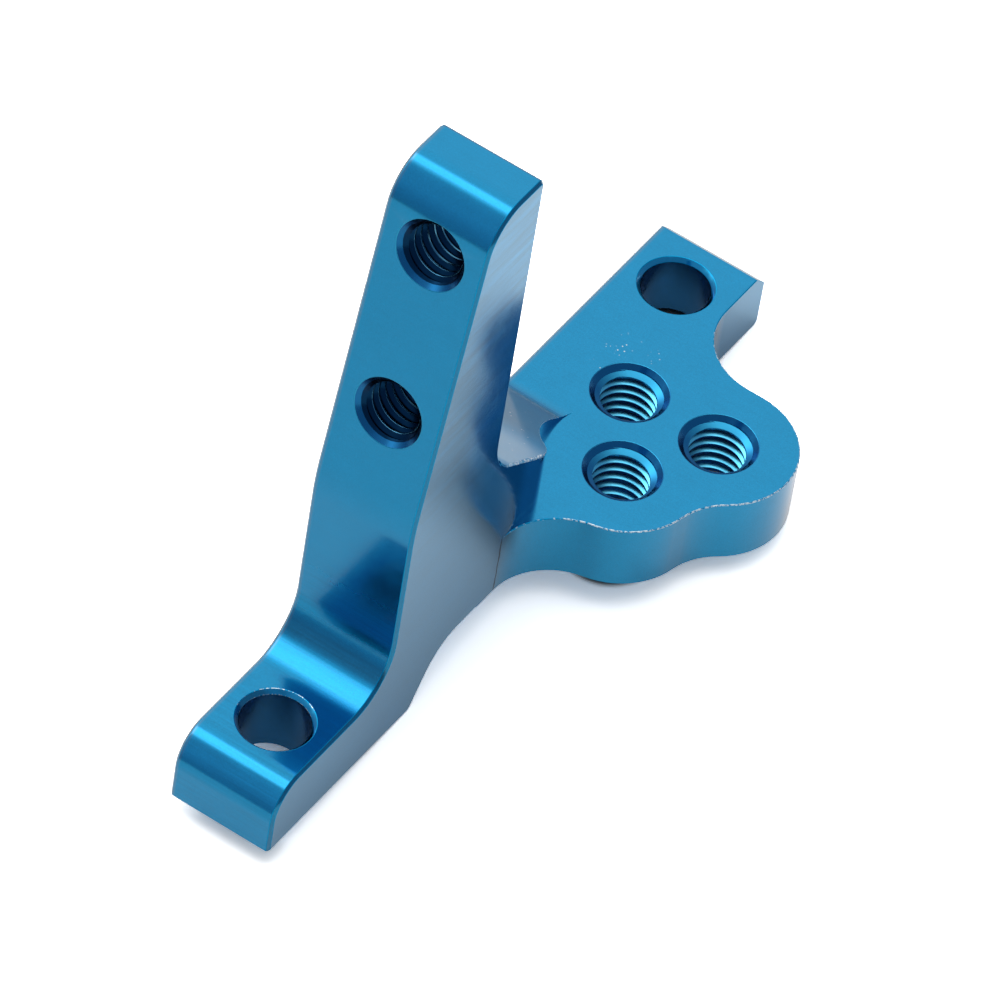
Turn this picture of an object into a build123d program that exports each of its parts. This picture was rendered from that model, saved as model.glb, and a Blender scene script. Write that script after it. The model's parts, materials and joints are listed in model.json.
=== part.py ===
from build123d import *
import os
from math import cos, radians, sqrt, tan

# Mounting bracket for ball studs, machined from one bar of aluminium.
# Millimetres, +Z up. The origin is on the axis of the foot's hole, at the foot's underside.
# +Y runs along the bar to the far hole, and +X points to the two lobes.

# Bar: a foot, a riser with a sloping web behind it, and a plate
bar_width = 5.1
hole_spacing = 30.0
foot_overhang = 3.56
far_overhang = 3.5
foot_height = 3.5
plate_top = 5.9
plate_thickness = 3.3
riser_height = 29.2
riser_front = 4.66
riser_back = 11.04
lean_start = 12.9
lean_angle = 9.8
web_angle = 32.0
web_end = 20.25
ramp_start = 6.85
ramp_angle = 55.0

# Rounded corners, seen from the side
foot_nose_radius = 1.75
foot_root_radius = 2.5
riser_nose_radius = 2.2
riser_top_radius = 0.3
lean_radius = 12.0
web_root_radius = 3.0
web_end_radius = 2.0
ramp_start_radius = 0.3
ramp_end_radius = 2.5

# Chamfers: on the bar's upper edges, on its other edges, how far behind the riser the near upper
# edge becomes one of those, and at the plate's far end
edge_break = 0.14
light_break = 0.07
light_break_gap = 0.4
far_top_chamfer = 0.9
far_bottom_chamfer = 0.3

# Three stud holes at the corners of an equal-sided triangle, two of them with a lobe
triangle_side = 4.63
triangle_middle = 4.31
triangle_back = 23.36
lobe_radius = 3.54
lobe_fillet = 3.25
web_cutter_radius = 3.8
web_corner_radius = 2.0

# Holes: the plain ones are for M3 screws, the stud holes are tapped M3
plain_hole_radius = 1.57
plain_rim_radius = 1.76
tapped_hole_radius = 1.25
tapped_rim_radius = 1.76
tapped_exit_radius = 1.5
riser_rim_radius = 1.66
upper_stud_drop = 3.01
riser_stud_spacing = 8.4

half_width = bar_width / 2
far_end = hole_spacing + far_overhang
plate_underside = plate_top - plate_thickness
lean = radians(lean_angle)
web_slope = tan(radians(web_angle))

back_stud = Vector(triangle_middle - triangle_side / 2, triangle_back)
lobe_stud = Vector(triangle_middle + triangle_side / 2, triangle_back)
front_stud = Vector(triangle_middle, triangle_back - triangle_side * sqrt(3) / 2)

# The lobes' fillets: one touches the bar's side and the front lobe, one lies between the lobes,
# and one touches the bar's side and the straight end of the back lobe
lobe_to_fillet = lobe_radius + lobe_fillet
fillet_across = half_width + lobe_fillet
fillet_along = sqrt(lobe_to_fillet**2 - (fillet_across - front_stud.X) ** 2)
front_fillet = Vector(fillet_across, front_stud.Y - fillet_along)
end_fillet = Vector(fillet_across, triangle_back + lobe_to_fillet)


def leaning_face(height):
    # The point on the middle line of the riser's leaning face at a height
    return Vector(0, riser_front + (height - lean_start) * tan(lean), height)


def make_profile():
    # The side view, drawn from the foot's front corner along the underside and back over the top
    web_start = plate_top + (web_end - riser_back) * web_slope
    ramp_end = ramp_start + plate_underside / tan(radians(ramp_angle))
    riser_nose = leaning_face(riser_height)
    corners = {
        (-foot_overhang, 0): 0,
        (ramp_start, 0): ramp_start_radius,
        (ramp_end, plate_underside): ramp_end_radius,
        (far_end - far_bottom_chamfer, plate_underside): 0,
        (far_end, plate_underside + far_bottom_chamfer): 0,
        (far_end, plate_top - far_top_chamfer): 0,
        (far_end - far_top_chamfer, plate_top): 0,
        (web_end, plate_top): web_end_radius,
        (riser_back, web_start): web_root_radius,
        (riser_back, riser_height): riser_top_radius,
        (riser_nose.Y, riser_height): riser_nose_radius,
        (riser_front, lean_start): lean_radius,
        (riser_front, foot_height): foot_root_radius,
        (-foot_overhang, foot_height): foot_nose_radius,
    }
    return make_face(FilletPolyline(*corners, radius=corners.values(), close=True))


def break_edge(body, point, size):
    # Chamfers the edge at a point, with the edges that it runs into smoothly
    return chamfer(body.edges().sort_by_distance(point)[0], size)


def make_bar(profile):
    bar = extrude(Plane.YZ.offset(-half_width) * profile, bar_width)
    for side in (-half_width, half_width):
        bar = break_edge(bar, (side, 0, foot_height), edge_break)
        bar = break_edge(bar, (side, 0, 0), light_break)
    # Behind the riser, the near upper edge is only just broken
    behind_riser = Plane.XZ.offset(-riser_back - light_break_gap)
    rear = split(extrude(Plane.YZ * profile, half_width), behind_riser, Keep.BOTTOM)
    on_web = Vector(half_width, front_stud.Y, plate_top + (web_end - front_stud.Y) * web_slope)
    return bar + break_edge(rear, on_web, light_break)


def make_plate(profile):
    # The plate's near half and the lobes, from arc to arc
    between = (front_stud + lobe_stud) / 2
    across = (lobe_stud - front_stud).rotate(Axis.Z, -90).normalized()
    valley = between + across * sqrt(lobe_to_fillet**2 - (triangle_side / 2) ** 2)
    lobe_end = triangle_back + lobe_radius
    corners = [
        (0, front_fillet.Y), front_fillet, front_stud, valley, lobe_stud, (lobe_stud.X, lobe_end),
        (fillet_across, lobe_end), end_fillet, (half_width, end_fillet.Y), (half_width, far_end),
        (0, far_end),
    ]
    plan = make_face(Polyline(*corners, close=True))
    for stud in (front_stud, lobe_stud):
        plan += Pos(stud) * Circle(lobe_radius)
    for centre in (front_fillet, valley, end_fillet):
        plan -= Pos(centre) * Circle(lobe_fillet)
    plate = extrude(Plane.XY.offset(plate_underside) * plan, plate_thickness)
    return plate & extrude(Plane.YZ * profile, lobe_stud.X + lobe_radius)


def clear_front_stud(body):
    # The cutter that faces the plate round the front stud hole takes a bite out of the web
    body -= Pos(front_stud.X, front_stud.Y, plate_top) * extrude(Circle(web_cutter_radius), riser_height)
    across = half_width - front_stud.X
    corner = front_stud + Vector(across, -sqrt(web_cutter_radius**2 - across**2), plate_top)
    web_corner = body.edges().filter_by(Axis.Z).sort_by_distance(corner)[0]
    return fillet(web_corner, web_corner_radius)


def countersink(hole_radius, rim_radius):
    # Opens the mouth of a hole at 45 degrees, down from the origin
    depth = rim_radius - hole_radius
    return Pos(0, 0, -depth / 2) * Cone(hole_radius, rim_radius, depth)


def square_hole(radius, depth, rim_radius, exit_radius):
    # Goes down from the origin through a flat wall, with both mouths opened
    exit_mouth = Pos(0, 0, -depth) * Rot(180, 0, 0) * countersink(radius, exit_radius)
    return Cylinder(radius, 3 * depth) + countersink(radius, rim_radius) + exit_mouth


def main():
    profile = make_profile()
    bracket = clear_front_stud(make_bar(profile) + make_plate(profile))
    for side in (-half_width, half_width):
        bracket = break_edge(bracket, (side, far_end, plate_underside + plate_thickness / 2), edge_break)
    for along, top, depth in ((0, foot_height, foot_height), (hole_spacing, plate_top, plate_thickness)):
        plain_hole = square_hole(plain_hole_radius, depth, plain_rim_radius, plain_rim_radius)
        bracket -= Pos(0, along, top) * plain_hole
    stud_hole = square_hole(tapped_hole_radius, plate_thickness, tapped_rim_radius, tapped_exit_radius)
    for stud in (back_stud, front_stud, lobe_stud):
        bracket -= Pos(stud.X, stud.Y, plate_top) * stud_hole
    riser_hole = Cylinder(tapped_hole_radius, 3 * (riser_back - riser_front))
    riser_hole += countersink(tapped_hole_radius, riser_rim_radius)
    upper_stud_height = riser_height - upper_stud_drop
    for height in (upper_stud_height, upper_stud_height - riser_stud_spacing * cos(lean)):
        bracket -= Pos(leaning_face(height)) * Rot(90 - lean_angle, 0, 0) * riser_hole
    return bracket


os.makedirs("parts", exist_ok=True)
export_step(main(), "parts/bracket.step")
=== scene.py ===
import json
from contextlib import contextmanager
from math import atan2, cos, degrees, pi, radians, sin, tan

import bmesh
import bpy
from mathutils import Matrix, Vector


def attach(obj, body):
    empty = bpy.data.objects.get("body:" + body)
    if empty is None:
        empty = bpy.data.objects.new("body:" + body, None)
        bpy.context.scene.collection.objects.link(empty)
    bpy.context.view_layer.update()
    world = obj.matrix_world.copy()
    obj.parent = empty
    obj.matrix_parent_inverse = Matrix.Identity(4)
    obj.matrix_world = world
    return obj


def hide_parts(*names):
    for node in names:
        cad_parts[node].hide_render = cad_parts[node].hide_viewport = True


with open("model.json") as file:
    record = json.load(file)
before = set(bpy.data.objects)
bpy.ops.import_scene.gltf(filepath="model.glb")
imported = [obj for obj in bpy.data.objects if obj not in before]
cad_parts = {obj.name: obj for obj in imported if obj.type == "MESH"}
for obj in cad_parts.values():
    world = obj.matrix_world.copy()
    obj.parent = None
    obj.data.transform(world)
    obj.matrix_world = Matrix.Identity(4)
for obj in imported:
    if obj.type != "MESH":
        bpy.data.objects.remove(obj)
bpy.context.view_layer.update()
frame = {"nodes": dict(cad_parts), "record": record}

mm = 0.001


def newObject(name, mesh):
    obj = bpy.data.objects.new(name, mesh)
    bpy.context.scene.collection.objects.link(obj)
    return obj


def meshFrom(name, verts, faces):
    mesh = bpy.data.meshes.new(name)
    mesh.from_pydata(verts, [], faces)
    mesh.update()
    return mesh


def addNode(tree, kind, **inputs):
    node = tree.nodes.new(kind)
    for name, value in inputs.items():
        node.inputs[name.replace("_", " ")].default_value = value
    return node


def plug(tree, value, socket):
    # A number or colour is written on the socket, anything else is linked to it
    if isinstance(value, (int, float, tuple)):
        socket.default_value = value
    else:
        tree.links.new(value, socket)


def mathOf(tree, what, a, b=0.0):
    node = tree.nodes.new("ShaderNodeMath")
    node.operation = what
    plug(tree, a, node.inputs[0])
    plug(tree, b, node.inputs[1])
    return node.outputs[0]


def times(tree, first, *others):
    for other in others:
        first = mathOf(tree, "MULTIPLY", first, other)
    return first


def plus(tree, first, *others):
    for other in others:
        first = mathOf(tree, "ADD", first, other)
    return first


def minus(tree, first, *others):
    for other in others:
        first = mathOf(tree, "SUBTRACT", first, other)
    return first


def ease(tree, value, limits, low=0.0, high=1.0):
    # Goes smoothly from low at the first limit to high at the second
    start, end = limits
    node = addNode(tree, "ShaderNodeMapRange", From_Min=start, From_Max=end, To_Min=low, To_Max=high)
    node.interpolation_type = "SMOOTHSTEP"
    plug(tree, value, node.inputs["Value"])
    return node.outputs["Result"]


def easeMm(tree, value, limits, low=0.0, high=1.0):
    return ease(tree, value, (limits[0] * mm, limits[1] * mm), low, high)


def bandMm(tree, value, rise, fall):
    # Goes up from 0 to 1 within the rise and down again within the fall
    return times(tree, easeMm(tree, value, rise), easeMm(tree, value, fall))


def boxMask(tree, at, box):
    # 1 inside a box, given in mm as (low, high) for x, y and z. A fifth of it is soft at each side
    mask = 1.0
    for name, (low, high) in zip("XYZ", box):
        soft = (high - low) / 5
        mask = times(tree, bandMm(tree, at[name], (low, low + soft), (high, high - soft)), mask)
    return mask


def mixOf(tree, blend, share, first, second):
    # Mixes two colours, each given as a tuple or as another node's output
    node = tree.nodes.new("ShaderNodeMix")
    node.data_type = "RGBA"
    node.blend_type = blend
    plug(tree, share, node.inputs["Factor"])
    for value, socket in ((first, node.inputs[6]), (second, node.inputs[7])):
        plug(tree, value, socket)
    return node.outputs[2]


def noiseOf(tree, vector, scale, detail=3.0, roughness=0.6):
    node = addNode(tree, "ShaderNodeTexNoise", Scale=scale, Detail=detail, Roughness=roughness)
    tree.links.new(vector, node.inputs["Vector"])
    return node.outputs["Fac"]


def swingOf(tree, noise):
    return minus(tree, noise, 0.5)


def stretched(tree, vector, scale, turn=(0, 0, 0)):
    node = addNode(tree, "ShaderNodeMapping", Scale=scale, Rotation=turn)
    node.vector_type = "POINT"
    tree.links.new(vector, node.inputs["Vector"])
    return node.outputs["Vector"]


def splitAxes(tree, vector):
    node = tree.nodes.new("ShaderNodeSeparateXYZ")
    tree.links.new(vector, node.inputs[0])
    return dict(zip("XYZ", node.outputs))


def coordinate(tree, name):
    return tree.nodes.new("ShaderNodeTexCoord").outputs[name]


def metal(name, roughness):
    mat = bpy.data.materials.new(name)
    mat.use_nodes = True
    shader = mat.node_tree.nodes["Principled BSDF"]
    shader.inputs["Metallic"].default_value = 1.0
    shader.inputs["Roughness"].default_value = roughness
    return mat, mat.node_tree, shader


# Painted shade and highlights inside the holes and their mouths, as darker and lighter copies of the blue. In
# the tapped ones the crests are painted dark and the flanks between painted bright
paintedHoleLight = {
    "threadCrestShade": {"colour": (0.004, 0.07, 0.24, 1), "roughness": 0.25},
    "threadFlankHighlight": {"colour": (0.12, 0.59, 0.85, 1), "roughness": 0.28},
    "plainBoreShade": {"colour": (0.03, 0.16, 0.33, 1), "roughness": 0.24},
    "riserThreadShade": {"colour": (0.003, 0.024, 0.065, 1), "roughness": 0.20},
    "mouth": {"colour": (0.012, 0.125, 0.30, 1), "roughness": 0.22},
    "riserCrestHighlight": {"colour": (0.07, 0.24, 0.38, 1), "roughness": 0.20},
}

# The shallow cone in a stud hole's mouth has the mouth's painted shade, and a painted highlight on its far
# side
innerCone = {
    "highlightColour": (0.03, 0.29, 0.50, 1),
    "roughness": 0.36,
    "highlightTowards": (0.454, -0.891),
    "highlightWithin": (0.0, 0.33),
}


def paintedHoleMaterial(name):
    mat, tree, shader = metal(name, paintedHoleLight[name]["roughness"])
    shader.inputs["Base Color"].default_value = paintedHoleLight[name]["colour"]
    return mat


def innerConeMaterial():
    mat, tree, shader = metal("innerCone", innerCone["roughness"])
    facing = splitAxes(tree, coordinate(tree, "Normal"))
    x, y = innerCone["highlightTowards"]
    towards = plus(tree, times(tree, facing["X"], x), times(tree, facing["Y"], y))
    pale = ease(tree, towards, innerCone["highlightWithin"])
    colour = mixOf(tree, "MIX", pale, paintedHoleLight["mouth"]["colour"], innerCone["highlightColour"])
    tree.links.new(colour, shader.inputs["Base Color"])
    return mat


edges = {
    "sharperThan": 38,
    "rim": (1.5, 2.0),     # an edge as far as this from a tapped hole's axis is on its rim
    "lobesRightOf": 2.4,   # where the lobes' own edges are
    "lobesBetween": (13, 31.6),
    "lobesAbove": 5.8,
    "width": 0.022,        # the hair-thin round that handling leaves on a sharp edge
    "wornWidth": 0.05,     # and on the lobes' upper edge
    "segments": 3,
    "silver": (0.72, 0.80, 0.84, 1),
    "roughness": 0.38,
    "chipSize": 7500.0,    # per metre
    "bareWithin": (0.66, 0.82),
    "wornAreas": [         # each a box in mm, and how much more of the metal is bare there
        (((2.0, 12.0), (12.5, 32.5), (5.5, 6.3)), 0.24),     # the lobes
        (((-2.4, 4.0), (10.5, 22.5), (5.0, 13.0)), 0.24),    # the web
        (((-2.2, 1.6), (-1.0, 2.2), (3.2, 3.7)), 0.22),      # the rim of the foot's hole
    ],
}


def wornMaterial():
    # Sharp edges: the blue, with bare metal showing where they are worn
    mat, tree, shader = metal("wornEdge", edges["roughness"])
    place = coordinate(tree, "Object")
    at = splitAxes(tree, place)
    wear = 0.0
    for box, share in edges["wornAreas"]:
        wear = mathOf(tree, "MAXIMUM", times(tree, boxMask(tree, at, box), share), wear)
    chips = plus(tree, noiseOf(tree, place, edges["chipSize"], 4.0, 0.7), wear)
    bare = ease(tree, chips, edges["bareWithin"])
    colour = mixOf(tree, "MIX", bare, anodised["colour"], edges["silver"])
    tree.links.new(colour, shader.inputs["Base Color"])
    return mat


# Places are in mm. A pair of limits says where a change begins and where it is complete
anodised = {
    "colour": (0.005, 0.262, 0.510, 1),     # what it gives back of a white room
    "roughness": 0.17,
    "coatIor": 1.3,                         # the clear oxide film on the blue
    "coatRoughness": 0.10,
    "grain": 0.34,
    "grainSize": 15000.0,                   # per metre, like the sizes below
    "clouds": 0.12,
    "cloudsRougher": 0.08,
    "cloudSize": 900.0,
    "sideFrom": (0.90, 0.99),               # how squarely a side faces sideways
    "sideSmoother": 0.05,
    "breakFrom": (0.45, 0.60),              # painted shade on the broken edge between the front faces and the side
    "breakTo": (0.92, 0.82),
    "breakBehind": (12.5, 12.0),
    "breakPaintedShade": 0.35,
    "wallFrom": (-0.90, -0.99),             # the upright's front
    "wallBelow": (13.0, 10.0),
    "wallRougher": 0.05,
    "sheenColour": (0.20, 0.27, 0.33, 1),    # a painted grey sheen at the left and back edges, where the paper mirrors at a grazing angle
    "sheenShare": 0.85,
    "sheenLeft": (-2.24, -2.50),
    "sheenBack": (10.80, 10.94),
    "sheenAbove": (28.5, 28.9),
}

cutterMarks = {
    "perMetre": 9000.0,                     # counted across them
    "stretch": 0.03,                        # how much slower they change along the width
    "depth": 0.04,
    "bumpReach": 0.02,
    "swing": 0.40,
    "pastFoot": 0.25,                       # how much of them is left away from the foot
    "streakScale": (900, 260, 2600),        # the slanted marks on the sides
    "streakTurn": 38,
    "streakSwing": 0.80,
    "streakAbove": (8, 17),
    "streakLow": 0.15,
    "streakHigh": 1.2,
}

foot = {
    "behind": (6.2, 4.8),
    "above": (10.0, 6.5),
    "rootFrom": (1.5, 2.4),                 # the root's fillet, where the cutter's lines are coarse
    "rootRoughness": 0.24,
    "paler": 0.05,                          # a painted highlight: a paler band low in the root
    "rootHighlightRise": (2.3, 2.8),
    "rootHighlightFall": (3.7, 3.4),
    "rootPaintedShade": 0.38,                         # and painted shade: a duller band above it
    "rootShadeRise": (3.6, 4.0),
    "rootShadeFall": (4.45, 4.2),
}

web = {
    "facesBack": (0.25, 0.45),
    "facesUp": (0.4, 0.7),
    "roughness": 0.46,
    "darker": 0.38,                         # towards the plate
    "darkerFrom": (15.0, 17.2),
    "paler": 0.30,                          # near the riser
    "palerFrom": (16.2, 14.6),
    "cornerPaintedShade": 0.38,                   # painted shade: the side's dark corner in front of the web
    "cornerCoatLess": 0.75,
    "cornerSlope": 0.62,
    "cornerFrom": (15.8, 17.0),
    "cornerBelow": (15.5, 12.5),
    "cornerBehind": (14.2, 13.2),
}

specks = {
    "cells": 5200.0,                        # per metre
    "size": (0.24, 0.12),
    "strength": 0.85,
    "clusters": 1500.0,
    "clusterFrom": (0.48, 0.56),
    "nearHole": ((-0.6, 2.2), (23.4, 26.4), (5.85, 6.1)),
    "onWeb": ((-2.6, 2.4), (13.0, 19.0), (6.2, 12.0)),
    "webClusters": 2300.0,
    "webClusterFrom": (0.56, 0.60),
}

# The dark seam across the near side where the lobes' cut begins, and beside it a painted highlight: a light
# strip where a small round at the wall's foot would catch the light
seam = {
    "at": 12.73,
    "halfWidth": (0.07, 0.03),
    "wanders": 0.22,
    "wanderSize": 1400.0,
    "box": ((2.3, 2.8), (12.0, 13.4), (2.1, 6.4)),
    "colour": (0.0, 0.01, 0.03, 1),
    "strength": 0.9,
    "highlightBox": ((2.3, 2.7), (12.9, 15.6), (6.05, 6.4)),
    "highlightSize": 1800.0,
    "highlightFrom": (0.40, 0.55),
    "highlightStrength": 0.25,
}


def dimmed(tree, tone, mask, share):
    return times(tree, tone, minus(tree, 1.0, times(tree, mask, share)))


def findAreas(tree, at, facing):
    # Where each part of the bracket lies, as masks from 0 to 1
    y, z = at["Y"], at["Z"]
    onSide = ease(tree, mathOf(tree, "ABSOLUTE", facing["X"]), anodised["sideFrom"])
    atFoot = times(tree, easeMm(tree, y, foot["behind"]), easeMm(tree, z, foot["above"]))
    inRoot = times(tree, atFoot, easeMm(tree, y, foot["rootFrom"]), minus(tree, 1.0, onSide))
    onWeb = times(tree, ease(tree, facing["Y"], web["facesBack"]), ease(tree, facing["Z"], web["facesUp"]))
    slant = plus(tree, y, times(tree, z, web["cornerSlope"]))
    onBreak = times(tree, ease(tree, facing["X"], anodised["breakFrom"]),
                    ease(tree, facing["X"], anodised["breakTo"]), easeMm(tree, y, anodised["breakBehind"]))
    sheenBack = times(tree, easeMm(tree, y, anodised["sheenBack"]), easeMm(tree, z, anodised["sheenAbove"]))
    return {
        "side": onSide,
        "foot": atFoot,
        "root": inRoot,
        "web": onWeb,
        "corner": times(tree, easeMm(tree, slant, web["cornerFrom"]), easeMm(tree, z, web["cornerBelow"]),
                        onSide, easeMm(tree, y, web["cornerBehind"])),
        "break": onBreak,
        "wall": times(tree, ease(tree, facing["Y"], anodised["wallFrom"]),
                      easeMm(tree, z, anodised["wallBelow"])),
        "sheenEdges": mathOf(tree, "MAXIMUM", easeMm(tree, at["X"], anodised["sheenLeft"]), sheenBack),
    }


def cutterLines(tree, place, areas):
    # Fine lines along the bar's width, strongest on the foot
    fine = cutterMarks["perMetre"]
    across = stretched(tree, place, (fine * cutterMarks["stretch"], fine, fine))
    share = ease(tree, areas["foot"], (0.0, 1.0), cutterMarks["pastFoot"], 1.0)
    return times(tree, swingOf(tree, noiseOf(tree, across, 1.0)), share, minus(tree, 1.0, areas["side"]))


def sideStreaks(tree, place, at, areas):
    turn = (radians(cutterMarks["streakTurn"]), 0, 0)
    slanted = stretched(tree, place, cutterMarks["streakScale"], turn)
    share = easeMm(tree, at["Z"], cutterMarks["streakAbove"], cutterMarks["streakLow"],
                   cutterMarks["streakHigh"])
    return times(tree, swingOf(tree, noiseOf(tree, slanted, 1.0, 4.0)), areas["side"], share)


def blueTone(tree, place, at, areas, lines, clouds):
    # How bright the blue is, about 1
    y = at["Y"]
    # Painted light in the root: a highlight band low down and painted shade above it
    rootPaintedLight = minus(tree, times(tree, bandMm(tree, y, foot["rootHighlightRise"], foot["rootHighlightFall"]), foot["paler"]),
                     times(tree, bandMm(tree, y, foot["rootShadeRise"], foot["rootShadeFall"]), foot["rootPaintedShade"]))
    grain = swingOf(tree, noiseOf(tree, place, anodised["grainSize"], 2.0))
    streaks = sideStreaks(tree, place, at, areas)
    tone = plus(tree, times(tree, lines, cutterMarks["swing"]), 1.0,
                times(tree, streaks, cutterMarks["streakSwing"]),
                times(tree, clouds, anodised["clouds"]),
                times(tree, rootPaintedLight, areas["root"]),
                times(tree, grain, anodised["grain"]))
    # Painted shade in the side's corner in front of the web
    tone = dimmed(tree, tone, areas["corner"], web["cornerPaintedShade"])
    # Painted shade on the broken edge between the front faces and the side
    tone = dimmed(tree, tone, areas["break"], anodised["breakPaintedShade"])
    webDark = times(tree, areas["web"], easeMm(tree, y, web["darkerFrom"]))
    return dimmed(tree, tone, webDark, web["darker"])


def brightSpecks(tree, place, at):
    # Tiny bright specks near the back stud hole and on the web
    cells = addNode(tree, "ShaderNodeTexVoronoi", Scale=specks["cells"])
    tree.links.new(place, cells.inputs["Vector"])
    onWeb = times(tree, boxMask(tree, at, specks["onWeb"]),
                  ease(tree, noiseOf(tree, place, specks["webClusters"], 2.0), specks["webClusterFrom"]))
    areas = mathOf(tree, "MAXIMUM", boxMask(tree, at, specks["nearHole"]), onWeb)
    return times(tree, ease(tree, cells.outputs["Distance"], specks["size"]),
                 ease(tree, noiseOf(tree, place, specks["clusters"], 2.0), specks["clusterFrom"]), areas)


def seamLine(tree, place, at):
    wander = times(tree, swingOf(tree, noiseOf(tree, place, seam["wanderSize"])), seam["wanders"] * mm)
    fromSeam = mathOf(tree, "ABSOLUTE", plus(tree, minus(tree, at["Y"], seam["at"] * mm), wander))
    return times(tree, easeMm(tree, fromSeam, seam["halfWidth"]), boxMask(tree, at, seam["box"]))


def seamHighlight(tree, place, at):
    return times(tree, boxMask(tree, at, seam["highlightBox"]),
                 ease(tree, noiseOf(tree, place, seam["highlightSize"]), seam["highlightFrom"]))


def anodisedMaterial():
    mat, tree, shader = metal("anodisedBlue", anodised["roughness"])
    link = tree.links.new
    shader.inputs["Coat IOR"].default_value = anodised["coatIor"]
    shader.inputs["Coat Roughness"].default_value = anodised["coatRoughness"]

    place = coordinate(tree, "Object")
    at = splitAxes(tree, place)
    facing = splitAxes(tree, tree.nodes.new("ShaderNodeNewGeometry").outputs["Normal"])
    areas = findAreas(tree, at, facing)
    lines = cutterLines(tree, place, areas)
    clouds = swingOf(tree, noiseOf(tree, place, anodised["cloudSize"], 4.0))
    seamed = seamLine(tree, place, at)

    tone = blueTone(tree, place, at, areas, lines, clouds)
    webPale = times(tree, areas["web"], easeMm(tree, at["Y"], web["palerFrom"]), web["paler"])
    colour = mixOf(tree, "MULTIPLY", 1.0, anodised["colour"], tone)
    # Over the blue: the paler web, a painted grey sheen at the edges, bright specks, the dark seam and a
    # painted highlight beside it
    for share, over in (
            (webPale, edges["silver"]),
            (times(tree, areas["sheenEdges"], anodised["sheenShare"]), anodised["sheenColour"]),
            (times(tree, brightSpecks(tree, place, at), specks["strength"]), edges["silver"]),
            (times(tree, seamed, seam["strength"]), seam["colour"]),
            (times(tree, seamHighlight(tree, place, at), seam["highlightStrength"]), edges["silver"])):
        colour = mixOf(tree, "MIX", share, colour, over)
    link(colour, shader.inputs["Base Color"])
    # The seam and the corner's painted shade also take away coat
    coat = minus(tree, 1.0, seamed, times(tree, areas["corner"], web["cornerCoatLess"]))
    link(coat, shader.inputs["Coat Weight"])

    rough = ease(tree, areas["root"], (0.0, 1.0), anodised["roughness"], foot["rootRoughness"])
    rough = minus(tree, rough, times(tree, areas["side"], anodised["sideSmoother"]))
    rough = plus(tree, rough, times(tree, areas["wall"], anodised["wallRougher"]),
                 times(tree, areas["web"], web["roughness"] - anodised["roughness"]),
                 times(tree, clouds, anodised["cloudsRougher"]))
    link(rough, shader.inputs["Roughness"])

    bump = addNode(tree, "ShaderNodeBump", Strength=cutterMarks["depth"],
                   Distance=cutterMarks["bumpReach"] * mm)
    link(lines, bump.inputs["Height"])
    link(bump.outputs["Normal"], shader.inputs["Normal"])
    return mat


@contextmanager
def editing(mesh):
    bm = bmesh.new()
    bm.from_mesh(mesh)
    yield bm
    bm.to_mesh(mesh)
    bm.free()


def tappedHoles():
    # The middle, the axis and the length of each, from the record
    return [(Vector(m["pos_m"]), Vector(m["axis"]).normalized(), m["dims"]["length_mm"] * mm)
            for m in frame["record"]["mounts"] if m["kind"] == "threaded_hole"]


def leansForward(axis):
    # The riser's holes do, the stud holes stand upright
    return axis.z < 0.5


def fromAxis(point, place, axis):
    # How far along an axis a point lies, and how far out from it
    off = point - place
    along = off.dot(axis)
    return along, (off - axis * along).length


def withBounds(faces):
    # The faces with their edges and points, each once and always in the same order
    sides = dict.fromkeys([e for f in faces for e in f.edges])
    points = dict.fromkeys([v for f in faces for v in f.verts])
    return faces + list(sides) + list(points)


thread = {
    "pitch": 0.5,         # M3 coarse
    # Half of one groove, from the thread's rounded crest to the groove's bottom: how far from the
    # groove's middle, as a share of the pitch, and how far from the axis
    "half": [(0.44, 1.22), (0.43, 1.255), (0.415, 1.262), (0.40, 1.272), (0.38, 1.288), (0.12, 1.54)],
    "crest": 1.25,        # the tapped holes' radius
    "riserDepth": 0.70,   # how much of that depth the riser's threads have
    "stepsPerTurn": 48,
    "start": 0.18,        # where the groove begins, along the axis
    "past": 0.8,          # how far the rod runs on beyond each end
    "longer": 0.9,        # than the straight bore
}


def threadRod(place, axis, length, depth):
    # A tap as a closed screw-shaped rod: its rows wind up the axis and close with a fan at each end
    steps = thread["stepsPerTurn"]
    pitch = thread["pitch"]
    crest = thread["crest"]
    profile = [(-share, crest + (radius - crest) * depth) for share, radius in thread["half"]]
    profile += [(-share, radius) for share, radius in reversed(profile)]
    rows = len(profile)
    turns = int((length + 2 * thread["past"]) / pitch + 1)
    start = thread["start"] - turns * pitch / 2
    verts = []
    for k in range(turns * steps + 1):
        angle = 2 * pi * k / steps
        for share, radius in profile:
            height = start + pitch * (k / steps + share)
            verts.append((radius * cos(angle), radius * sin(angle), height))
    last = turns * steps

    def at(k, row):
        return rows * k + row

    faces = []
    for k in range(last):
        for row in range(rows - 1):
            faces.append((at(k, row), at(k + 1, row), at(k + 1, row + 1), at(k, row + 1)))
        if k + steps < last:
            faces.append((at(k, rows - 1), at(k + 1, rows - 1), at(k + 1 + steps, 0), at(k + steps, 0)))
    bottom = [at(k, 0) for k in range(steps + 1)] + [at(0, row) for row in range(rows - 1, 0, -1)]
    top = [at(k, rows - 1) for k in range(last, last - steps - 1, -1)]
    top += [at(last, row) for row in range(rows - 1)]
    for ring, height in ((bottom, start), (top, start + turns * pitch)):
        centre = len(verts)
        verts.append((0, 0, height))
        for a, b in zip(ring, ring[1:] + ring[:1]):
            faces.append((centre, b, a))
    turn = Vector((0, 0, 1)).rotation_difference(Vector(axis)).to_matrix()
    verts = [(turn @ Vector(v) + Vector(place)) * mm for v in verts]
    return verts, faces


def joinMeshes(name, parts):
    verts, faces = [], []
    for someVerts, someFaces in parts:
        base = len(verts)
        verts += someVerts
        faces += [tuple(base + i for i in f) for f in someFaces]
    return meshFrom(name, verts, faces)


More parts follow.
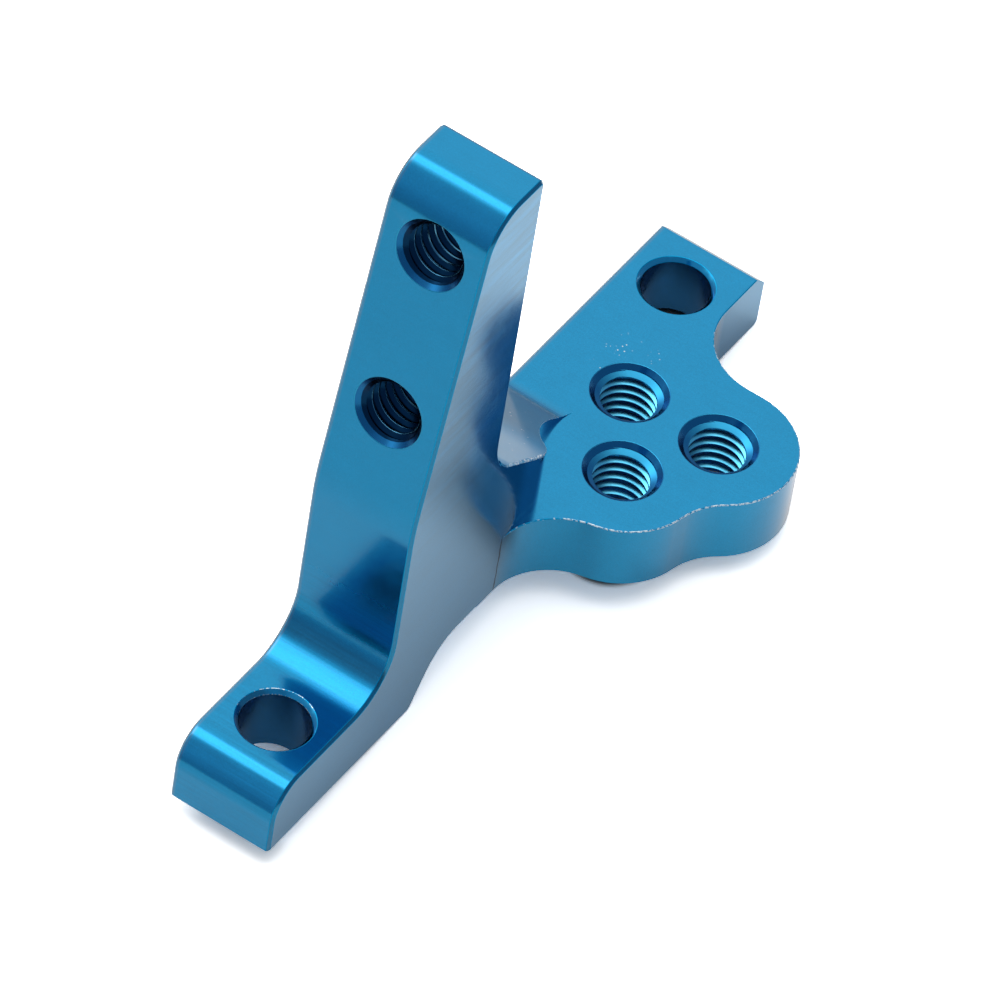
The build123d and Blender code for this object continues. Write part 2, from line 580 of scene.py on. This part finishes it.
# A stud hole opens at 45 degrees and goes on in a shallower cone: where that begins above the
# straight bore, and how far the bore's upper ring is raised to make it
studMouth = {"coneStart": 0.279, "raised": 0.156, "rim": 1.8, "bore": 1.27}


def openMouths(mesh):
    with editing(mesh) as bm:
        for place, axis, length in tappedHoles():
            if leansForward(axis):
                continue
            ring = place + axis * length / 2

            def inMouth(v, reach):
                along, out = fromAxis(v.co, ring, axis)
                return along > -0.003 * mm and out < reach * mm

            cone = [f for f in bm.faces if all(inMouth(v, studMouth["rim"]) for v in f.verts)]
            lowest = dict.fromkeys([v for f in cone for v in f.verts if inMouth(v, studMouth["bore"])])
            bmesh.ops.bisect_plane(bm, geom=withBounds(cone), dist=0.001 * mm, plane_no=axis,
                                   plane_co=ring + axis * studMouth["coneStart"] * mm)
            for v in lowest:
                v.co += axis * studMouth["raised"] * mm


def recalcNormals(mesh):
    with editing(mesh) as bm:
        bmesh.ops.recalc_face_normals(bm, faces=bm.faces)


clean = {"weldWithin": 0.0015, "flatWithin": 0.1}   # mm and degrees


def cleanMesh(mesh):
    # Welds the points that belong together, and joins the triangles that lie in one plane
    with editing(mesh) as bm:
        bmesh.ops.remove_doubles(bm, verts=bm.verts, dist=clean["weldWithin"] * mm)
        bmesh.ops.dissolve_limit(bm, angle_limit=radians(clean["flatWithin"]), verts=bm.verts,
                                 edges=bm.edges)


def inOrder(mesh):
    # A bevel or a cut leaves points and faces in no fixed order. Sorted, they are the same each run
    order = sorted(range(len(mesh.vertices)), key=lambda i: tuple(mesh.vertices[i].co))
    newIndex = {old: new for new, old in enumerate(order)}
    faces = []
    for poly in mesh.polygons:
        ring = [newIndex[i] for i in poly.vertices]
        first = ring.index(min(ring))
        faces.append((tuple(ring[first:] + ring[:first]), poly.material_index))
    faces.sort()
    ordered = meshFrom(mesh.name, [mesh.vertices[i].co.copy() for i in order], [ring for ring, _ in faces])
    for poly, (_, slot) in zip(ordered.polygons, faces):
        poly.material_index = slot
    return ordered


def applyModifiers(obj):
    # Takes the evaluated mesh in place of the modifiers
    depsgraph = bpy.context.evaluated_depsgraph_get()
    mesh = bpy.data.meshes.new_from_object(obj.evaluated_get(depsgraph))
    obj.modifiers.clear()
    obj.data = mesh


def edgeKind(edge):
    # A hole's rim, what the thread cuts away, one of the worn edges on the lobes, or plain
    middle = (edge.verts[0].co + edge.verts[1].co) / 2
    nearest, farthest = edges["rim"]
    for place, axis, length in tappedHoles():
        out = fromAxis(middle, place, axis)[1]
        if out < farthest * mm:
            return "rim" if out > nearest * mm else "thread"
    front, back = edges["lobesBetween"]
    besideBar = middle.x > edges["lobesRightOf"] * mm and middle.z > edges["lobesAbove"] * mm
    return "worn" if besideBar and front * mm < middle.y < back * mm else "plain"


def roundEdges(mesh):
    count = 0
    with editing(mesh) as bm:
        for kind, width, finish in (("worn", edges["wornWidth"], "wornEdge"),
                                    ("plain", edges["width"], "wornEdge"),
                                    ("rim", edges["width"], "anodisedBlue")):
            sharp = [e for e in bm.edges if e.is_manifold and edgeKind(e) == kind
                     and e.calc_face_angle_signed() > radians(edges["sharperThan"])]
            bmesh.ops.bevel(bm, geom=sharp, offset=width * mm, offset_type="OFFSET",
                            segments=edges["segments"], profile=0.5, affect="EDGES",
                            clamp_overlap=False, material=finishesAndPaintedLight.index(finish))
            count += len(sharp)
        bmesh.ops.dissolve_degenerate(bm, edges=bm.edges, dist=0.001 * mm)
    return count


# Rounded corners whose highlight sits a little beside a true arc's: the arc's middle (y, z) and
# radius, whether it is hollow, and pairs of angles from the top: on the arc, and as shaded
corners = [
    {"centre": (9.328, 27.0), "radius": 2.2, "hollow": False,
     "bend": [(0, 0), (13.5, 15), (22, 30.5), (66, 66), (90, 90)]},
    {"centre": (-1.81, 1.75), "radius": 1.75, "hollow": False,
     "bend": [(0, 0), (18.5, 13.3), (30, 28.8), (70, 64), (90, 90)]},
    {"centre": (2.16, 6.0), "radius": 2.5, "hollow": True,
     "bend": [(0, 0), (10.5, 13.3), (34, 28.8), (60, 60), (90, 90)]},
]

# How far off its arc a corner's point or face may lie, and the step in degrees between its strips
arcs = {"pointWithin": 0.15, "faceWithin": 0.16, "step": 3}


def angleOn(corner, at):
    # The angle from the top at a point of the corner's arc, or None away from it
    y, z = at.y - corner["centre"][0], at.z - corner["centre"][1]
    if corner["hollow"]:
        y, z = -y, -z
    offArc = abs((y * y + z * z) ** 0.5 - corner["radius"])
    if offArc > arcs["pointWithin"] or y > 0.02 or z < -0.02:
        return None
    return degrees(atan2(-y, z))


def refineArc(mesh, corner):
    # Cuts the arc's flat strips into narrow ones, so that its shading can be bent in small steps
    centre = Vector(corner["centre"]) * mm
    side = -1 if corner["hollow"] else 1

    def onArc(face):
        offArc = max(abs((v.co.yz - centre).length / mm - corner["radius"]) for v in face.verts)
        return (offArc < arcs["faceWithin"]
                and any(angleOn(corner, v.co / mm) is not None for v in face.verts))

    with editing(mesh) as bm:
        for degree in range(arcs["step"], 90, arcs["step"]):
            angle = radians(degree)
            near = [f for f in bm.faces if onArc(f)]
            bmesh.ops.bisect_plane(bm, geom=withBounds(near), dist=0.002 * mm, plane_co=(0, *centre),
                                   plane_no=(0, cos(angle) * side, sin(angle) * side))


def bendNormals(mesh):
    normals = [Vector(c.vector) for c in mesh.corner_normals]
    for loop in mesh.loops:
        n = normals[loop.index]
        if abs(n.x) > 0.05 or n.z < 0 or n.y > 0.01:
            continue
        for corner in corners:
            angle = angleOn(corner, mesh.vertices[loop.vertex_index].co / mm)
            if angle is not None:
                for (a, b), (c, d) in zip(corner["bend"], corner["bend"][1:]):
                    if a <= angle <= c:
                        turned = radians(b + (d - b) * (angle - a) / (c - a))
                        normals[loop.index] = Vector((0, -sin(turned), cos(turned)))
                        break
    mesh.normals_split_custom_set(normals)


# The order of the bracket's material slots
finishesAndPaintedLight = ["anodisedBlue", "wornEdge", "threadCrestShade", "threadFlankHighlight", "plainBoreShade", "riserThreadShade",
            "mouth", "innerCone", "riserCrestHighlight"]

# Which faces round a hole get which painted shade or highlight: how far from the axis, and how much they face
# along it
holes = {
    "mouthReach": 1.8,
    "mouthLean": 0.6,
    "coneLean": 0.8,
    "threadReach": 1.545,
    "threadPast": 0.5,
    "lowMouthLean": (0.69, 0.72),
    "flankLean": 0.8,
    "crestReach": 1.272,
    "boreReach": 1.6,
    "boreLean": 0.3,
}


def tappedHolePaintedLight(along, reach, lean, length, inRiser):
    # The painted shade or highlight of a face in a tapped hole, or None outside it
    low, high = holes["lowMouthLean"]
    inLowMouth = low < abs(lean) < high and along < 0
    inThread = reach <= holes["threadReach"] and abs(along) <= length + holes["threadPast"] and not inLowMouth
    inMouth = reach < holes["mouthReach"] and length / 2 < along < length and lean > holes["mouthLean"]
    # Painted shade on the riser's threads, lighter on their crests; in the stud holes painted shade with a
    # painted highlight on the upward flanks
    if inThread and inRiser:
        return "riserCrestHighlight" if reach < holes["crestReach"] else "riserThreadShade"
    if inThread and along < length / 2:
        return "threadFlankHighlight" if lean > holes["flankLean"] else "threadCrestShade"
    if inMouth:
        return "mouth" if lean < holes["coneLean"] else "innerCone"
    return None


def pickFinishesAndPaintedLight(mesh):
    plainHoles = [Vector(m["pos_m"]) for m in frame["record"]["mounts"]
                  if m["name"] in ("foot_hole", "far_hole")]
    upwards = Vector((0, 0, 1))
    for poly in mesh.polygons:
        spots = [mesh.vertices[i].co for i in poly.vertices]
        for place, axis, length in tappedHoles():
            reach = max(fromAxis(v, place, axis)[1] for v in spots) / mm
            along = fromAxis(poly.center, place, axis)[0] / mm
            finish = tappedHolePaintedLight(along, reach, poly.normal.dot(axis), length / mm,
                                  leansForward(axis))
            if finish:
                poly.material_index = finishesAndPaintedLight.index(finish)
        for place in plainHoles:
            reach = max(fromAxis(v, place, upwards)[1] for v in spots) / mm
            # The plain holes' bores get painted shade
            if reach < holes["boreReach"] and abs(poly.normal.z) < holes["boreLean"]:
                poly.material_index = finishesAndPaintedLight.index("plainBoreShade")


def cutThreads(body):
    taps = [threadRod(place / mm, axis, length / mm + thread["longer"],
                      thread["riserDepth"] if leansForward(axis) else 1.0)
            for place, axis, length in tappedHoles()]
    tool = newObject("tapRods", joinMeshes("tapRods", taps))
    recalcNormals(tool.data)
    cut = body.modifiers.new("threads", "BOOLEAN")
    cut.operation = "DIFFERENCE"
    cut.solver = "EXACT"
    cut.object = tool
    applyModifiers(body)
    bpy.data.objects.remove(tool)
    return len(taps)


shading = {"sharperThan": 32, "largeFacesWeigh": 50}   # 50 is neutral


def smoothShading(body):
    # Smooth, but sharp at real edges and round the cones in the stud holes' mouths
    mesh = body.data
    mesh.polygons.foreach_set("use_smooth", [True] * len(mesh.polygons))
    mesh.set_sharp_from_angle(angle=radians(shading["sharperThan"]))
    coneSlot = finishesAndPaintedLight.index("innerCone")
    cones = {key for poly in mesh.polygons if poly.material_index == coneSlot for key in poly.edge_keys}
    others = {key for poly in mesh.polygons if poly.material_index != coneSlot for key in poly.edge_keys}
    for edge in mesh.edges:
        if edge.key in cones and edge.key in others:
            edge.use_edge_sharp = True
    weigh = body.modifiers.new("weighNormals", "WEIGHTED_NORMAL")
    weigh.keep_sharp = True
    weigh.weight = shading["largeFacesWeigh"]
    applyModifiers(body)
    bendNormals(body.data)


def makeBracket():
    node = frame["nodes"]["bracket"]
    verts = [v.co.copy() for v in node.data.vertices]
    faces = [tuple(p.vertices) for p in node.data.polygons]
    body = newObject("bracketBody", meshFrom("bracketBody", verts, faces))
    cleanMesh(body.data)
    recalcNormals(body.data)
    for corner in corners:
        refineArc(body.data, corner)
    openMouths(body.data)
    rounded = roundEdges(body.data)
    body.data = inOrder(body.data)
    threaded = cutThreads(body)
    body.data = inOrder(body.data)
    cleanMesh(body.data)
    pickFinishesAndPaintedLight(body.data)
    smoothShading(body)
    makers = {"anodisedBlue": anodisedMaterial, "wornEdge": wornMaterial, "innerCone": innerConeMaterial}
    for name in finishesAndPaintedLight:
        body.data.materials.append(makers[name]() if name in makers else paintedHoleMaterial(name))
    print("bracket:", len(body.data.polygons), "faces,", rounded, "edges rounded,",
          threaded, "threaded holes")
    return body


# Places are in mm. A pair of limits says where a change begins and where it is complete
studio = {
    "tilt": 5.63,             # the bracket stands on the ramp's edge and the plate's far edge
    "restLine": 6.85,
    "floorSize": 4000,
    "paper": 0.80,            # near the bracket
    "paperShadedFar": 0.30,         # painted shade: what the metal sees of it far off
    "paperBetween": (250, 700),
    "rightPaintedGlow": 0.29,        # a painted glow on the paper at the right, which the metal mirrors
    "rightPaintedGlowColour": (0.94, 0.80, 0.70, 1),
    "rightPaintedGlowFrom": (0, 8),
    "glowBefore": (19, 14.5),     # the painted glow is held back beside the lobes
    "glowRightOf": (7.5, 10.5),
    "glowBehind": (31, 34),
    "glowBehindShare": 1.3,
    "seenPaper": (2.35, 2.35, 2.35, 1),   # the picture's ground: white, but for the tight shadows
    "seenGlow": 0.13,
    "paintedShadowColour": (0.12, 0.12, 0.12, 1),
    "holePaintedShadow": (2.1, 2.5),      # painted shadow under the plate's holes, from their axes
    "footPaintedShadow": 0.38,            # painted shadow close under the foot's front
    "footShadeRise": (-4.5, -3.4),
    "footShadeFall": (-1.6, -2.6),
    "footShadeSides": (3.1, 2.1),
}


def paperShader(tree, colour, glow, glowColour=(1, 1, 1, 1)):
    paper = tree.nodes.new("ShaderNodeBsdfDiffuse")
    light = addNode(tree, "ShaderNodeEmission", Color=glowColour)
    both = tree.nodes.new("ShaderNodeAddShader")
    plug(tree, colour, paper.inputs["Color"])
    plug(tree, glow, light.inputs["Strength"])
    tree.links.new(paper.outputs[0], both.inputs[0])
    tree.links.new(light.outputs[0], both.inputs[1])
    return both.outputs[0]


def measured(tree, kind, first, second=(0, 0, 0)):
    # The length of a vector, or the distance between two
    node = tree.nodes.new("ShaderNodeVectorMath")
    node.operation = kind
    tree.links.new(first, node.inputs[0])
    node.inputs[1].default_value = second
    return node.outputs["Value"]


def emptyTree(owner):
    owner.use_nodes = True
    owner.node_tree.nodes.clear()
    return owner.node_tree


def forCamera(tree, forTheRest, forTheCamera):
    pick = tree.nodes.new("ShaderNodeMixShader")
    tree.links.new(tree.nodes.new("ShaderNodeLightPath").outputs["Is Camera Ray"], pick.inputs[0])
    tree.links.new(forTheRest, pick.inputs[1])
    tree.links.new(forTheCamera, pick.inputs[2])
    return pick.outputs[0]


def paperAround(tree, place, at):
    # What lights the metal and mirrors in it: the paper, with painted shade far off and a painted glow at the
    # right
    shade = easeMm(tree, measured(tree, "LENGTH", place), studio["paperBetween"], studio["paper"],
                   studio["paperShadedFar"])
    clear = mathOf(tree, "MAXIMUM", easeMm(tree, at["Y"], studio["glowBefore"]),
                   easeMm(tree, at["X"], studio["glowRightOf"]))
    clear = mathOf(tree, "MAXIMUM", clear,
                   easeMm(tree, at["Y"], studio["glowBehind"], 0.0, studio["glowBehindShare"]))
    glow = easeMm(tree, at["X"], studio["rightPaintedGlowFrom"], 0.0, studio["rightPaintedGlow"])
    return paperShader(tree, shade, times(tree, glow, clear), studio["rightPaintedGlowColour"])


def paperSeen(tree, place, at, rise):
    # What the camera sees: a white ground with painted shadows under the plate's holes and close under the
    # foot's front
    lit = 1.0
    # Painted shadow discs on the paper under the plate's holes
    for mount in frame["record"]["mounts"]:
        x, y, z = mount["pos_m"]
        if mount["kind"] != "flat_face" and z > 0 and mount["axis"][2] > 0.9:
            below = (x, y, (y - studio["restLine"] * mm) * rise)
            away = measured(tree, "DISTANCE", place, below)
            lit = times(tree, easeMm(tree, away, studio["holePaintedShadow"]), lit)
    ground = mixOf(tree, "MIX", lit, studio["paintedShadowColour"], studio["seenPaper"])
    # and a painted shadow close under the foot's front
    atFoot = times(tree, bandMm(tree, at["Y"], studio["footShadeRise"], studio["footShadeFall"]),
                   easeMm(tree, mathOf(tree, "ABSOLUTE", at["X"]), studio["footShadeSides"]),
                   studio["footPaintedShadow"])
    ground = mixOf(tree, "MULTIPLY", atFoot, ground, studio["paintedShadowColour"])
    return paperShader(tree, ground, times(tree, lit, studio["seenGlow"]))


def makeFloor():
    half = studio["floorSize"] / 2
    rise = tan(radians(studio["tilt"]))
    outline = [(-half, -half), (half, -half), (half, half), (-half, half)]
    verts = [(x * mm, y * mm, (y - studio["restLine"]) * rise * mm) for x, y in outline]
    floor = newObject("floor", meshFrom("floor", verts, [(0, 1, 2, 3)]))
    mat = bpy.data.materials.new("floorPaper")
    tree = emptyTree(mat)
    place = coordinate(tree, "Object")
    at = splitAxes(tree, place)
    paper = forCamera(tree, paperAround(tree, place, at), paperSeen(tree, place, at, rise))
    tree.links.new(paper, tree.nodes.new("ShaderNodeOutputMaterial").inputs["Surface"])
    floor.data.materials.append(mat)
    print("floor: tilted", studio["tilt"], "degrees, so that the bracket stands on it")


# How bright the room is, by direction: x to the right, y to the back and z up, each from -1 to 1
room = {
    "horizon": 0.36,
    "high": 1.03,              # high at the back left
    "highLeft": (0.30, -0.20),
    "highBack": (-0.70, 0.35),
    "highUp": (0.0, 0.60),
    "frontShare": 0.30,
    "dimTint": (0.80, 1.0, 1.28, 1),   # the dim parts of the room are bluish
    "plainFrom": 0.9,
    "lampStrength": 1.55,      # the long lamp overhead
    "lampForward": 0.09,       # its middle, in front of straight up
    "lampLeft": 0.2,
    "lampWidth": 0.33,         # from its middle to where it has faded, towards the front
    "lampCore": 0.55,          # the share of that width which is fully bright
    "lampLength": (0.82, 0.52),
    "lampUp": (0.2, 0.5),
    "leftLight": 2.0,          # a big soft light at the left, which the camera's side never mirrors
    "leftAt": (-0.45, -0.8),
    "leftUp": (0.45, 0.75),
}


def roomLight(tree, way):
    x, y, z = way["X"], way["Y"], way["Z"]
    high = times(tree, ease(tree, x, room["highLeft"]),
                 ease(tree, y, room["highBack"], room["frontShare"], 1.0), ease(tree, z, room["highUp"]))
    fromLamp = mathOf(tree, "ABSOLUTE", plus(tree, y, room["lampForward"]))
    alongLamp = mathOf(tree, "ABSOLUTE", plus(tree, x, room["lampLeft"]))
    lamp = times(tree, ease(tree, fromLamp, (room["lampWidth"], room["lampWidth"] * room["lampCore"])),
                 ease(tree, alongLamp, room["lampLength"]), ease(tree, z, room["lampUp"]))
    left = times(tree, ease(tree, x, room["leftAt"]), ease(tree, z, room["leftUp"]))
    return plus(tree, times(tree, high, room["high"] - room["horizon"]), room["horizon"],
                times(tree, lamp, room["lampStrength"]), times(tree, left, room["leftLight"]))


def makeRoom():
    world = bpy.data.worlds.new("room")
    bpy.context.scene.world = world
    tree = emptyTree(world)
    light = roomLight(tree, splitAxes(tree, coordinate(tree, "Generated")))
    # Only what mirrors in the metal is tinted
    rays = tree.nodes.new("ShaderNodeLightPath").outputs
    plain = mathOf(tree, "MAXIMUM", ease(tree, light, (room["horizon"], room["plainFrom"])),
                   minus(tree, 1.0, rays["Is Glossy Ray"]))
    studioLight = tree.nodes.new("ShaderNodeBackground")
    tree.links.new(mixOf(tree, "MIX", plain, room["dimTint"], (1, 1, 1, 1)), studioLight.inputs["Color"])
    tree.links.new(light, studioLight.inputs["Strength"])
    white = addNode(tree, "ShaderNodeBackground", Color=(1, 1, 1, 1))
    seen = forCamera(tree, studioLight.outputs[0], white.outputs[0])
    tree.links.new(seen, tree.nodes.new("ShaderNodeOutputWorld").inputs["Surface"])
    print("room: one long lamp overhead and a soft light at the left")


camera = {
    "place": (137.839, -253.689, 329.224),   # mm
    "lookAt": (2.25335, 12.48652, 8.32844),
    "roll": 9.9186,
    "lens": 373.81,
    "sensor": 36,
    "sees": (0.01, 20),                      # from and to, in metres
}


def makeCamera():
    data = bpy.data.cameras.new("camera")
    data.lens = camera["lens"]
    data.sensor_width = camera["sensor"]
    data.clip_start, data.clip_end = camera["sees"]
    obj = newObject("camera", data)
    place = Vector(camera["place"]) * mm
    look = (Vector(camera["lookAt"]) * mm - place).normalized()
    right = look.cross(Vector((0, 0, 1))).normalized()
    up = right.cross(look)
    roll = radians(camera["roll"])
    rolledRight = right * cos(roll) + up * sin(roll)
    rolledUp = up * cos(roll) - right * sin(roll)
    turn = Matrix((rolledRight, rolledUp, -look)).transposed()
    obj.matrix_world = Matrix.Translation(place) @ turn.to_4x4()
    bpy.context.scene.camera = obj
    print("camera: lens", camera["lens"])


body = makeBracket()
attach(body, "root")
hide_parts("bracket")
makeFloor()
makeRoom()
makeCamera()
bpy.context.scene.view_settings.view_transform = "Standard"
